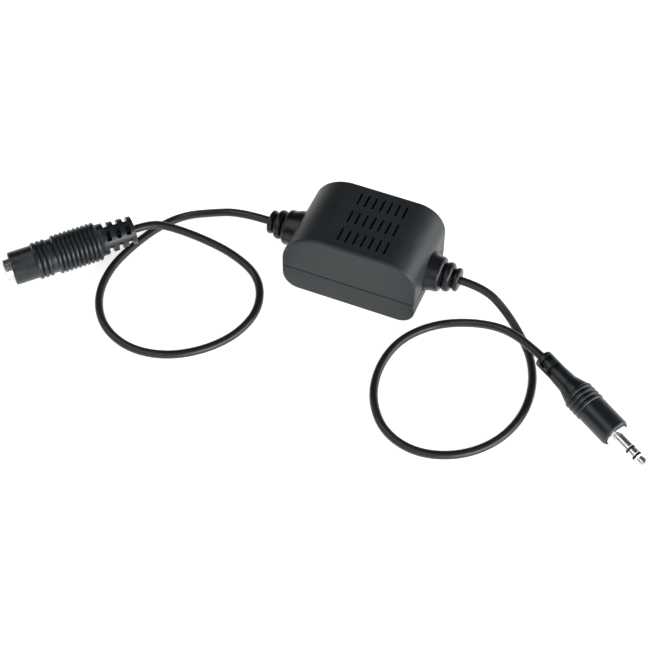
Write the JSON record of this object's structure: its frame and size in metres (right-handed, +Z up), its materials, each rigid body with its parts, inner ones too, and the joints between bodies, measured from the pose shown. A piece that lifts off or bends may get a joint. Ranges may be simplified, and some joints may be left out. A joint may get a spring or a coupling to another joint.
{
  "type": "ground loop isolator",
  "caption": "Ground loop isolator for audio leads: a louvred plastic case holding isolating transformers, with a ribbed in-line socket on one lead and a plug on the other.",
  "frame": {"origin": "middle of the case's footprint, on the surface the object lies on", "axes": "+Z up, +X along the case towards the lead with the plug, +Y away from the side where the leads' loops lie"},
  "size_m": [0.2239, 0.0786, 0.0268],
  "materials": {
    "case_plastic": "fine matte moulded",
    "relief_vinyl": "smooth soft vinyl",
    "lead_vinyl": "satin vinyl sheath",
    "connector_vinyl": "satin moulded vinyl",
    "nickel_plate": "bright nickel plate on brass",
    "insulator_nylon": "moulded",
    "spring_bronze": "bright strip",
    "board_laminate": "solder mask over glass laminate",
    "solder": "bright solder",
    "core_steel": "varnished laminations",
    "bobbin_nylon": "moulded",
    "copper": "enamelled copper",
    "polyester_tape": "film tape",
    "tinned_pins": "tinned",
    "white_insulation": "vinyl",
    "red_insulation": "vinyl"
  },
  "bodies": {
    "root": {"upper_shell": "case_plastic", "lower_shell": "case_plastic", "input_strain_relief": "relief_vinyl", "output_strain_relief": "relief_vinyl", "circuit_board": "board_laminate", "solder_joints": "solder", "left_channel_core": "core_steel", "right_channel_core": "core_steel", "left_channel_bobbin": "bobbin_nylon", "right_channel_bobbin": "bobbin_nylon", "left_channel_winding": "copper", "right_channel_winding": "copper", "left_channel_tape": "polyester_tape", "right_channel_tape": "polyester_tape", "left_channel_pins": "tinned_pins", "right_channel_pins": "tinned_pins", "input_left_wire": "white_insulation", "input_right_wire": "red_insulation", "input_ground_wire": "copper", "output_left_wire": "white_insulation", "output_right_wire": "red_insulation", "output_ground_wire": "copper", "input_cord": "lead_vinyl", "output_cord": "lead_vinyl", "socket_body": "connector_vinyl", "socket_bushing": "nickel_plate", "socket_insulator": "insulator_nylon", "socket_tip_spring": "spring_bronze", "socket_ring_spring": "spring_bronze", "plug_body": "connector_vinyl", "plug_sleeve": "nickel_plate", "plug_rear_insulator": "insulator_nylon", "plug_ring": "nickel_plate", "plug_front_insulator": "insulator_nylon", "plug_tip": "nickel_plate"}
  },
  "joints": []
}
